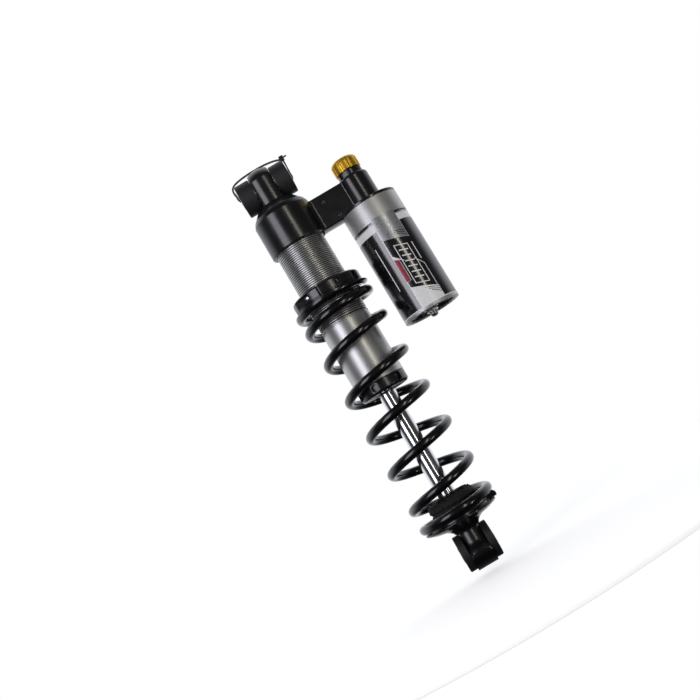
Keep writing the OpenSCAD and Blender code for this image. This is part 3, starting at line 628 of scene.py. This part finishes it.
shaft = lathe("shaft", [
    (0, -391), (9, -391, 1), (9, -206, 0.3), (5, -206), (5, -172, 1), (0, -172)], segments=128)
put(shaft, "shaft_chrome", "shaft_assembly", "damper_shaft")
stop = lathe("bump_cushion", [
    (9.02, -371.5), (23.3, -371.5, 1), (24.4, -369.5, 1.2), (24.4, -363.4, 1.6), (22.9, -361.6, 1.2),
    (24.8, -359.6, 1.6), (24.6, -354, 1.8), (22.4, -351.7, 1.4), (19.5, -351, 1), (12, -351, 0.8),
    (10, -352.2, 0.4), (9.02, -352.6)], closed=True, segments=160)
fine_ring = stop.modifiers.new("fine", "SUBSURF")
fine_ring.subdivision_type = "SIMPLE"
fine_ring.levels = 1
evaluated(stop, 50)
for vert in stop.data.vertices:
    spot = vert.co / MM
    if math.hypot(spot.x, spot.y) > 13:
        lump = noise.noise(Vector((spot.x, spot.y, spot.z * 1.4)) / 5.5) * 0.7
        lump += noise.noise(Vector((spot.x, spot.y, spot.z)) / 1.6 + Vector((9, 3, 1))) * 0.25
        vert.co += vert.normal * (lump - 0.5) * MM
shade(stop, 60)
put(stop, "bump_rubber", "shaft_assembly", "bump_stop")
lower_seat = lathe("lower_seat", [
    (9.05, -371.5), (30.15, -371.5, 0.8), (31.15, -372.5, 0.5), (31.15, -374.5, 0.3), (38, -374.5, 0.5),
    (38, -375.9, 0.5), (36.5, -376.8, 0.8), (29, -379.5, 4), (21, -381.1, 3), (17, -383, 2.5),
    (14, -385.5, 2), (12.9, -387.5, 0.3), (12.05, -387.5), (12.05, -374), (9.05, -374)],
    closed=True, segments=160)
put(lower_seat, "seat_black", "shaft_assembly", "lower_spring_seat")


def eyelet_keep():
    """The slab, round below the eye's centre, that the flared end is milled to."""
    r = LOWER_RING_R
    outline = [(r, 40), (r, 0)] + arc_points(0, 0, r, 0, -180, 48)[1:-1] + [(-r, 0), (-r, 40)]
    faces_x = (-LOWER_LUG_HALF, LOWER_LUG_HALF)
    return loft("keep", [[(x, y, LOWER_EYE_Z + z) for y, z in outline] for x in faces_x])


eyelet = lathe("eyelet", [(r, LOWER_EYE_Z + z) for r, z in (
    (0, 18.95), (12, 18.95), (12.6, 16.4), (13.4, 9.4), (14.5, 5.4), (17, 2.9), (19, 0.4), (21.5, -3.6),
    (21.5, -21.6), (0, -21.6))], segments=160)
carve(eyelet, [eyelet_keep()], operation="INTERSECT")
bore = rod_between("bore", (-14, 0, LOWER_EYE_Z), (14, 0, LOWER_EYE_Z), 12.05, 112)
carve(eyelet, [bore], 0.45, smooth=36)
stalk = lathe("stalk", [(0, -372.6), (12, -372.6), (12, -387.5), (0, -387.5)], segments=160)
eyelet = merge(eyelet, stalk)
put(eyelet, "head_black", "shaft_assembly", "lower_eyelet")

# --------------------------------------------------------------------- reservoir

GROOVE_TOP, GROOVE_BOTTOM = -90.4, -92.8
can = lathe("reservoir", [
    (26, -68.8), (RESERVOIR_R, -68.8, 0.3), (RESERVOIR_R, GROOVE_TOP, 0.1), (28.2, GROOVE_TOP),
    (28.2, GROOVE_BOTTOM), (RESERVOIR_R, GROOVE_BOTTOM, 0.1), (RESERVOIR_R, -190.8, 1.0),
    (27.4, -190.8, 0.4), (26.8, -189.6), (27.2, -189.6), (27.2, -188), (26, -188)],
    x=RESERVOIR_X, closed=True, segments=144)
put(can, "reservoir_silver", "damper", "reservoir_tube")
end_cap = lathe("reservoir_end", [
    (0, -176), (26, -176), (26, -188, 0.3), (23, -188, 0.8), (22, -185, 1.2), (9, -185, 1.2), (8, -188, 0.6),
    (0, -188)], x=RESERVOIR_X, segments=128)
put(end_cap, "seal_black", "damper", "reservoir_cap")


def circlip():
    """The ring that holds the end cap, open at the front, with an eye at each end."""
    rings = []
    for k in range(97):
        a = math.radians(-90 + 9 + 342 * k / 96)
        rings.append([(RESERVOIR_X + r * math.cos(a), r * math.sin(a), z)
                      for r, z in ((27.1, -189.5), (27.1, -188.1), (23.7, -188.1), (23.7, -189.5))])
    clip = loft("retaining_ring", rings)
    for side in (-1, 1):
        a = math.radians(-90 + side * 9)
        mid = Vector((RESERVOIR_X + 24.2 * math.cos(a), 24.2 * math.sin(a), 0))
        eye = lathe("eye", [(0.9, -188.1), (2.2, -188.1), (2.2, -189.5), (0.9, -189.5)],
                    closed=True, segments=32)
        eye.data.transform(Matrix.Translation(mid * MM))
        clip = merge(clip, eye)
    return clip


put(circlip(), "clip_steel", "damper", "reservoir_circlip")
hexagon = rod_between("valve", (RESERVOIR_X, 0, -188), (RESERVOIR_X, 0, -191.2), 6.4, 6)
hexagon = carve(hexagon, [], 0.35)
dome = lathe("valve_dome", [
    (0, -190), (5, -190), (5, -191.6, 0.3), (4.2, -192, 0.4), (4.6, -192.6, 0.5), (4.7, -193.6, 1.2),
    (3.6, -195.9, 1.8), (1.6, -196.8, 1.2), (0, -196.8)], x=RESERVOIR_X, segments=80)
put(merge(hexagon, dome), "valve_steel", "damper", "fill_valve")

# ------------------------------------------------------------------------- label

LABEL_R = 29.72
LAYER = 0.035
LABEL_TURN = -3.4
HALF_TURN = math.pi * LABEL_R
# sinks the painted-shade film that darkens the tube's groove to just over the groove's floor
GROOVE_SHADE_LAYER = -40
# rise over run of the lettering-like bars
SLANT = -0.31


def film(outline, layer, looks):
    """A printed patch's mesh: u is mm round the tube from just left of its front, v the height."""
    radius = LABEL_R + LAYER * layer
    bm = bmesh.new()
    bm.faces.new([bm.verts.new((u, 0, v)) for u, v in outline])
    low = min(u for u, _ in outline)
    high = max(u for u, _ in outline)
    cuts = max(1, int((high - low) / 1.3))
    for k in range(1, cuts):
        spot = low + (high - low) * k / cuts
        bmesh.ops.bisect_plane(bm, geom=bm.verts[:] + bm.edges[:] + bm.faces[:], dist=1e-5,
                               plane_co=(spot, 0, 0), plane_no=(1, 0, 0))
    for vert in bm.verts:
        a = (vert.co.x + LABEL_TURN) / LABEL_R
        vert.co = Vector((RESERVOIR_X + radius * math.sin(a), -radius * math.cos(a), vert.co.z)) * MM
    mesh = bpy.data.meshes.new("film")
    bm.to_mesh(mesh)
    bm.free()
    for face in mesh.polygons:
        face.use_smooth = True
    mesh.materials.append(LOOKS[looks])
    return mesh


def stroke(points, width, layer, looks):
    """A printed line of even width through the points."""
    pieces = []
    for (u0, v0), (u1, v1) in zip(points, points[1:]):
        along = Vector((u1 - u0, v1 - v0)).normalized()
        side = Vector((-along.y, along.x)) * width / 2
        reach = along * width / 2
        a, b = Vector((u0, v0)) - reach, Vector((u1, v1)) + reach
        pieces.append(film([a + side, b + side, b - side, a - side], layer, looks))
    return pieces


films = [
    film([(-HALF_TURN, -94), (HALF_TURN, -94), (HALF_TURN, -187.5), (-HALF_TURN, -187.5)], 0, "label_white"),
    film([(-HALF_TURN, -101), (-6.9, -101), (-6.9, -186.6), (-HALF_TURN, -186.6)], 1, "label_black"),
    film([(19.6, -101), (HALF_TURN, -101), (HALF_TURN, -186.6), (19.6, -186.6)], 1, "label_black"),
    film([(-6.4, -88.5), (19.3, -88.5), (19.3, -121), (-6.4, -112)], 1, "label_silver"),
    film([(-6, -112), (19.9, -120), (19.9, -175), (-6, -164.4), (-6, -158.6), (-1.5, -158.6),
          (-1.5, -135), (-6, -130)], 2, "label_black"),
    film([(-6.6, -133.4), (-1.9, -136), (-1.9, -158.4), (-6.6, -158.4)], 2, "label_red"),
    film([(-1.5, -141), (2.4, -138), (2.4, -150), (-1.5, -153)], 3, "label_green"),
]
films += stroke([(-17.7, -115), (-17.7, -161)], 1.1, 2, "label_white")
films += stroke([(18.4, -126), (18.4, -144)], 1.0, 3, "label_white")
films += stroke([(-6.2, -112.4), (-6.2, -130), (-1.2, -135.2), (2.0, -138.6)], 0.7, 3, "label_white")
films += stroke([(12.2, -141.5), (18.6, -150), (18.6, -173.4)], 0.7, 3, "label_white")
for k in range(3):
    films += stroke([(6 + 2 * k, -108 - 2.3 * k), (19, -112.2 - 2.3 * k)], 0.6, 3, "label_black")
    films += stroke([(6 + 2.4 * k, -171.6 - 2.5 * k), (19.2, -176.4 - 2.5 * k)], 0.6, 3, "label_black")
films += stroke([(0.6, -121.5), (13.4, -125.5), (13.4, -167.5), (0.6, -163.5), (0.6, -121.5)],
                0.8, 4, "label_white")
for k in range(6):
    films += stroke([(3.2, -128 - 6 * k), (10.8, -128 - 6 * k + 7.6 * SLANT)], 1.1, 4, "label_white")
# painted shade: a black film on the groove's floor darkens the groove
films.append(film([(-HALF_TURN, GROOVE_TOP), (HALF_TURN, GROOVE_TOP), (HALF_TURN, GROOVE_BOTTOM),
                   (-HALF_TURN, GROOVE_BOTTOM)], GROOVE_SHADE_LAYER, "label_black"))
slots = []
bm = bmesh.new()
for piece in films:
    look = piece.materials[0]
    if look not in slots:
        slots.append(look)
    before = len(bm.faces)
    bm.from_mesh(piece)
    bm.faces.ensure_lookup_table()
    for face in bm.faces[before:]:
        face.material_index = slots.index(look)
    bpy.data.meshes.remove(piece)
mesh = bpy.data.meshes.new("label")
bm.to_mesh(mesh)
bm.free()
label = bpy.data.objects.new("label", mesh)
bpy.context.scene.collection.objects.link(label)
for mat in slots:
    mesh.materials.append(mat)
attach(label, "damper")
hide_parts("reservoir_label")

# --------------------------------------------------------- compression adjuster

nut = rod_between("adjuster_nut", (RESERVOIR_X, 0, -33.6), (RESERVOIR_X, 0, -28.2), 14.2, 6, 38)
turned = lathe("turned", [(0, -34), (13, -34), (13, -29, 0.3), (12.2, -28.2, 0.3), (0, -28.2)],
               x=RESERVOIR_X, segments=96)
carve(nut, [turned], 0.15, "INTERSECT")
stem = lathe("adjuster_stem", [(3.2, -30), (11, -30), (11, -57.5), (3.2, -57.5)], x=RESERVOIR_X, closed=True)
put(merge(nut, stem), "seal_black", "damper", "adjuster_cartridge")
knob = lathe("knob_grip", [
    (0, -27.9), (14, -27.9, 0.8), (14, -18.5, 0.2), (13.66, -16.78, 0.5), (12.68, -15.32, 0.5),
    (11.2, -14.34, 0.5), (9.5, -14), (0, -14)], x=RESERVOIR_X, segments=144)
KNOB_GROOVES, GROOVE_PLACE = 9, 16.56
grooves = []
for k in range(KNOB_GROOVES):
    a = math.radians(360 / KNOB_GROOVES * k + 6)
    spot = Vector((RESERVOIR_X + GROOVE_PLACE * math.cos(a), GROOVE_PLACE * math.sin(a), 0))
    grooves.append(rod_between("groove", spot + Vector((0, 0, -29)), spot + Vector((0, 0, -12)), 3.2, 48))
well = rod_between("well", (RESERVOIR_X, 0, -15.6), (RESERVOIR_X, 0, -12), 3.4, 40)
carve(knob, grooves + [well], 0.35, smooth=40)
put(knob, "knob_gold", "knob", "adjuster_knob")
screw = lathe("screw", [(0, -14.2), (3.3, -14.2, 0.4), (3.3, -15.6), (1.7, -15.6), (1.7, -17.5), (0, -17.5)],
              x=RESERVOIR_X, segments=64)
carve(screw, [rod_between("key", (RESERVOIR_X, 0, -13), (RESERVOIR_X, 0, -15.2), 1.2, 6)], 0.12)
put(screw, "bare_steel", "knob", "knob_screw")

# --------------------------------------------------------------------- cable tie

# each point of the strap's route, with the way its flat side faces there
TIE = [
    ((27, 0, 19.1), (0, 0, 1)), ((20, 0, 21.3), (0, 0, 1)), ((10, 0, 22.7), (0, 0, 1)),
    ((-2, 0, 23), (0, 0, 1)), ((-14, 0, 22.4), (0, 0, 1)), ((-23, 0, 20.9), (-0.3, 0, 1)),
    ((-28, 1, 18.8), (-0.8, 0, 1)),
    ((-29.8, 4.5, 15.6), (-1, 0, 0.4)), ((-29.4, 10.5, 12.8), (-1, 0.2, 0.3)),
    ((-28.6, 16.8, 9.6), (-0.8, 0.7, 0.2)),
    ((-22, 20.6, 2.5), (-0.2, 1, 0)), ((-13, 22.5, -5), (0, 1, 0)), ((0, 22.9, -8), (0, 1, 0)),
    ((13, 22.7, -7), (0, 1, 0)), ((23, 21.4, -3), (0.2, 1, 0)), ((28.9, 18.2, 2.5), (0.8, 0.6, 0)),
    ((29.5, 12.5, 7.2), (1, 0.2, 0)), ((29.6, 6.5, 12), (1, 0, 0.1)), ((29.5, 2, 15.5), (1, 0, 0.3)),
    ((29, 0.5, 17.8), (1, 0, 0.4)),
]


def spline(points, steps=6):
    """A smooth curve through the points, with so many steps between each two."""
    out = []
    last = len(points) - 1
    for i in range(last):
        a, b, c, d = (Vector(points[min(last, max(0, i + k))]) for k in (-1, 0, 1, 2))
        for k in range(steps + (i == last - 1)):
            t = k / steps
            out.append(0.5 * ((2 * b) + (c - a) * t + (2 * a - 5 * b + 4 * c - d) * t * t
                              + (3 * b - a - 3 * c + d) * t * t * t))
    return out


path = spline([p for p, _ in TIE])
facing = spline([n for _, n in TIE])
wide, thick, edge = 1.8, 0.55, 0.2
section = [(wide, thick - edge), (wide - edge, thick), (edge - wide, thick), (-wide, thick - edge),
           (-wide, edge - thick), (edge - wide, -thick), (wide - edge, -thick), (wide, edge - thick)]
rings = []
for i, (spot, out) in enumerate(zip(path, facing)):
    along = (path[min(i + 1, len(path) - 1)] - path[max(i - 1, 0)]).normalized()
    across = along.cross(out).normalized()
    out = across.cross(along).normalized()
    rings.append([spot + across * w + out * h for w, h in section])
strap = loft("strap", rings)
tie_head = carve(box("tie_head", (29, 0, 19.3), (4.6, 5.4, 5)),
                 [box("mouth", (29, 0, 22), (2.4, 3.2, 1.6))], 0.7)
tail = carve(box("tail", (32.6, 0, 19.9), (4, 2.6, 1.1)), [], 0.3)
put(merge(strap, tie_head, tail), "tie_nylon", "damper", "cable_tie")

# ------------------------------------------------------- floor, world and lights

floor = lathe("floor", [(0, -433), (330, -433, 2), (330, -437, 1), (0, -437)], segments=96)
floor_look = material("floor_pale", (0.9, 0.9, 0.9), 0.0, 0.8, 60, vary=0.01, bump=0.02)
floor_shader = floor_look.node_tree.nodes["Principled BSDF"]
floor_shader.inputs["Emission Color"].default_value = (1, 1, 1, 1)
floor_shader.inputs["Emission Strength"].default_value = 0.55
floor.data.materials.append(floor_look)
floor.visible_glossy = False
floor.visible_diffuse = False

scene = bpy.context.scene
scene.view_settings.view_transform = "Standard"
world = bpy.data.worlds.new("studio")
scene.world = world
world.use_nodes = True
nodes, links = world.node_tree.nodes, world.node_tree.links
nodes.clear()
coords = nodes.new("ShaderNodeTexCoord")
split = nodes.new("ShaderNodeSeparateXYZ")
links.new(coords.outputs["Generated"], split.inputs["Vector"])
behind = map_range(nodes, links, split.outputs["Y"], -0.15, 0.55, 0.05, 1.0, "SMOOTHSTEP")
room = nodes.new("ShaderNodeBackground")
room.inputs["Color"].default_value = (0.93, 0.95, 1.0, 1)
above = map_range(nodes, links, split.outputs["Z"], -0.7, -0.15, 0.08, 1.0, "SMOOTHSTEP")
both = nodes.new("ShaderNodeMath")
both.operation = "MULTIPLY"
links.new(behind, both.inputs[0])
links.new(above, both.inputs[1])
links.new(both.outputs["Value"], room.inputs["Strength"])
backdrop = nodes.new("ShaderNodeBackground")
backdrop.inputs["Color"].default_value = (1, 1, 1, 1)
backdrop.inputs["Strength"].default_value = 1.0
ray = nodes.new("ShaderNodeLightPath")
choose = nodes.new("ShaderNodeMixShader")
links.new(ray.outputs["Is Camera Ray"], choose.inputs["Fac"])
links.new(room.outputs["Background"], choose.inputs[1])
links.new(backdrop.outputs["Background"], choose.inputs[2])
output = nodes.new("ShaderNodeOutputWorld")
links.new(choose.outputs["Shader"], output.inputs["Surface"])

TARGET = Vector((-0.00967, 0, -0.1827))
CAMERA_DISTANCE = 0.9785


def softbox(name, degrees, distance, width, height, radiance, color, rise):
    """A standing light; degrees turn it from the front towards the reservoir, rise lifts it."""
    light = bpy.data.lights.new(name, "AREA")
    light.shape = "RECTANGLE"
    light.size = width
    light.size_y = height
    light.energy = radiance * math.pi * width * height
    light.color = color
    obj = bpy.data.objects.new(name, light)
    a = math.radians(degrees)
    way = Vector((math.sin(a), -math.cos(a), 0))
    spot = TARGET + way * distance + Vector((0, 0, rise))
    up = Vector((0, 0, 1))
    turn = Matrix((up.cross(way).normalized(), up, way)).transposed().to_4x4()
    obj.matrix_world = Matrix.Translation(spot) @ turn
    obj.visible_camera = False
    scene.collection.objects.link(obj)


softbox("left_box", -37, 1.3, 0.6, 1.26, 3.0, (0.91, 0.9, 1.0), 0.32)
softbox("right_strip", 24.8, 1.4, 0.15, 1.28, 4.6, (1.0, 0.95, 0.84), 0.31)
softbox("low_strip", 48, 1.3, 0.12, 0.46, 9.0, (0.96, 0.95, 1.0), -0.54)

# ------------------------------------------------------------------------ camera

camera = bpy.data.cameras.new("camera")
camera.lens = 51.43
camera.sensor_width = 36
camera.clip_start = 0.01
view = bpy.data.objects.new("camera", camera)
scene.collection.objects.link(view)
azimuth, tilt, roll = math.radians(-0.21), math.radians(-7.28), math.radians(30.63)
back = Vector((math.sin(azimuth) * math.cos(tilt), -math.cos(azimuth) * math.cos(tilt), math.sin(tilt)))
level = Vector((math.cos(azimuth), math.sin(azimuth), 0))
rise = back.cross(level)
right = level * math.cos(roll) - rise * math.sin(roll)
up = rise * math.cos(roll) + level * math.sin(roll)
turn = Matrix((right, up, back)).transposed().to_4x4()
view.matrix_world = Matrix.Translation(TARGET + back * CAMERA_DISTANCE) @ turn
scene.camera = view
